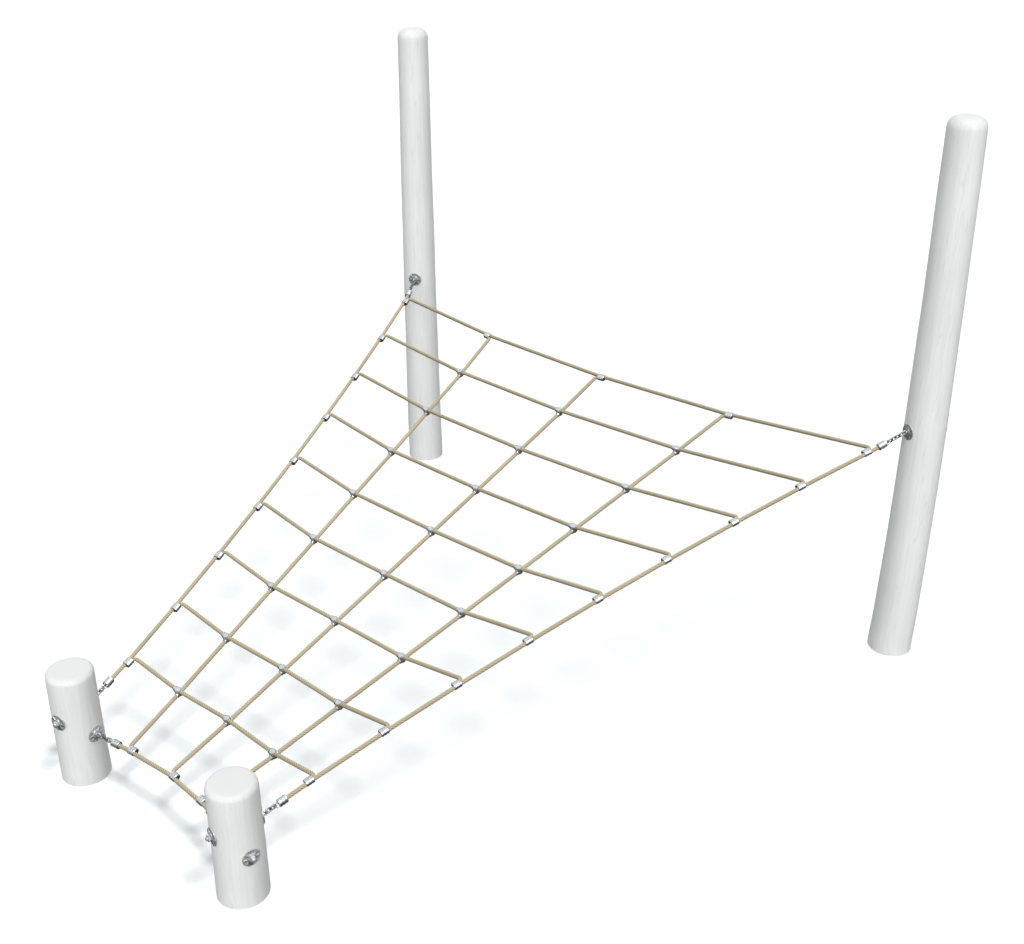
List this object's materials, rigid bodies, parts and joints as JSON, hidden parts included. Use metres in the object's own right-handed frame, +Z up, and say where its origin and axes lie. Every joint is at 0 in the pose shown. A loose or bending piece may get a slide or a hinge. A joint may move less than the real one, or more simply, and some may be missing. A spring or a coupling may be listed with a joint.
{
  "type": "cargo climbing net",
  "caption": "Sloping rope climbing net with crossed meshes, clamped at the crossings and slung on short chains between tall and low timber posts.",
  "frame": {"origin": "on the ground, in the middle of the four posts", "axes": "+Z up, +Y from the low posts to the tall posts (up the slope of the net), +X to the right for someone facing +Y"},
  "size_m": [3.2462, 3.2226, 2.4555],
  "materials": {
    "peeled_timber": "peeled round timber, pale weathered grey",
    "net_rope": "twisted six-strand rope, matt beige",
    "pressed_aluminium": "bright pressed aluminium",
    "galvanised_steel": "hot-dip galvanised, slightly dulled"
  },
  "bodies": {
    "root": {"tall_post_left": "peeled_timber", "tall_post_right": "peeled_timber", "low_post_left": "peeled_timber", "low_post_right": "peeled_timber", "tall_eye_bolt_left": "galvanised_steel", "tall_front_disc_left": "galvanised_steel", "tall_back_disc_left": "galvanised_steel", "tall_cap_nut_left": "galvanised_steel", "tall_eye_bolt_right": "galvanised_steel", "tall_front_disc_right": "galvanised_steel", "tall_back_disc_right": "galvanised_steel", "tall_cap_nut_right": "galvanised_steel", "side_eye_bolt_left": "galvanised_steel", "side_front_disc_left": "galvanised_steel", "side_back_disc_left": "galvanised_steel", "side_cap_nut_left": "galvanised_steel", "side_eye_bolt_right": "galvanised_steel", "side_front_disc_right": "galvanised_steel", "side_back_disc_right": "galvanised_steel", "side_cap_nut_right": "galvanised_steel", "bottom_eye_bolt_left": "galvanised_steel", "bottom_front_disc_left": "galvanised_steel", "bottom_back_disc_left": "galvanised_steel", "bottom_cap_nut_left": "galvanised_steel", "bottom_eye_bolt_right": "galvanised_steel", "bottom_front_disc_right": "galvanised_steel", "bottom_back_disc_right": "galvanised_steel", "bottom_cap_nut_right": "galvanised_steel"},
    "net": {"tall_end_fitting_left": "pressed_aluminium", "tall_end_fitting_right": "pressed_aluminium", "side_end_fitting_left": "pressed_aluminium", "side_end_fitting_right": "pressed_aluminium", "bottom_end_fitting_left": "pressed_aluminium", "bottom_end_fitting_right": "pressed_aluminium", "side_rope_left": "net_rope", "side_rope_right": "net_rope", "top_rope": "net_rope", "bottom_rope": "net_rope", "long_rope_left": "net_rope", "long_rope_middle": "net_rope", "long_rope_right": "net_rope", "cross_rope_1": "net_rope", "cross_rope_2": "net_rope", "cross_rope_3": "net_rope", "cross_rope_4": "net_rope", "cross_rope_5": "net_rope", "cross_rope_6": "net_rope", "cross_rope_7": "net_rope", "cross_rope_8": "net_rope"},
    "tall_chain_left": {"tall_chain_left": "galvanised_steel"},
    "tall_chain_right": {"tall_chain_right": "galvanised_steel"},
    "side_chain_left": {"side_chain_left": "galvanised_steel"},
    "side_chain_right": {"side_chain_right": "galvanised_steel"},
    "bottom_chain_left": {"bottom_chain_left": "galvanised_steel"},
    "bottom_chain_right": {"bottom_chain_right": "galvanised_steel"}
  },
  "joints": [
    {"name": "net_bounce", "type": "slide", "parent": "root", "child": "net", "axis": [0, -0.2998, 0.954], "range_m": [-0.006, 0.006], "stiffness_N_per_m": 45000, "springref_m": 0.0007},
    {"name": "tall_chain_swing_left", "type": "hinge", "parent": "root", "child": "tall_chain_left", "pos_m": [-1.47573, 1.40444, 1.11923], "axis": [-0.9005, -0.4148, -0.1304], "range_deg": [-4.2, 4.2]},
    {"name": "tall_chain_swing_right", "type": "hinge", "parent": "root", "child": "tall_chain_right", "pos_m": [1.48557, 1.40444, 1.11923], "axis": [-0.9005, 0.4148, 0.1304], "range_deg": [-4.2, 4.2]},
    {"name": "side_chain_swing_left", "type": "hinge", "parent": "root", "child": "side_chain_left", "pos_m": [-0.53191, -1.38788, 0.30554], "axis": [0.9789, 0.1949, 0.0612], "range_deg": [-7.9, 7.9]},
    {"name": "side_chain_swing_right", "type": "hinge", "parent": "root", "child": "side_chain_right", "pos_m": [0.53102, -1.38788, 0.30554], "axis": [0.9789, -0.1949, -0.0612], "range_deg": [-7.9, 7.9]},
    {"name": "bottom_chain_swing_left", "type": "hinge", "parent": "root", "child": "bottom_chain_left", "pos_m": [-0.39449, -1.47917, 0.22588], "axis": [0.1556, -0.9424, -0.2962], "range_deg": [-5.5, 5.5]},
    {"name": "bottom_chain_swing_right", "type": "hinge", "parent": "root", "child": "bottom_chain_right", "pos_m": [0.39349, -1.47917, 0.22588], "axis": [0.1556, 0.9424, 0.2962], "range_deg": [-5.5, 5.5]}
  ],
  "couplings": [
    {"joint": "tall_chain_swing_left", "follows": "net_bounce", "rad_per_m": 11.899},
    {"joint": "tall_chain_swing_right", "follows": "net_bounce", "rad_per_m": 11.899},
    {"joint": "side_chain_swing_left", "follows": "net_bounce", "rad_per_m": 22.61},
    {"joint": "side_chain_swing_right", "follows": "net_bounce", "rad_per_m": 22.61},
    {"joint": "bottom_chain_swing_left", "follows": "net_bounce", "rad_per_m": 15.556},
    {"joint": "bottom_chain_swing_right", "follows": "net_bounce", "rad_per_m": 15.556}
  ]
}
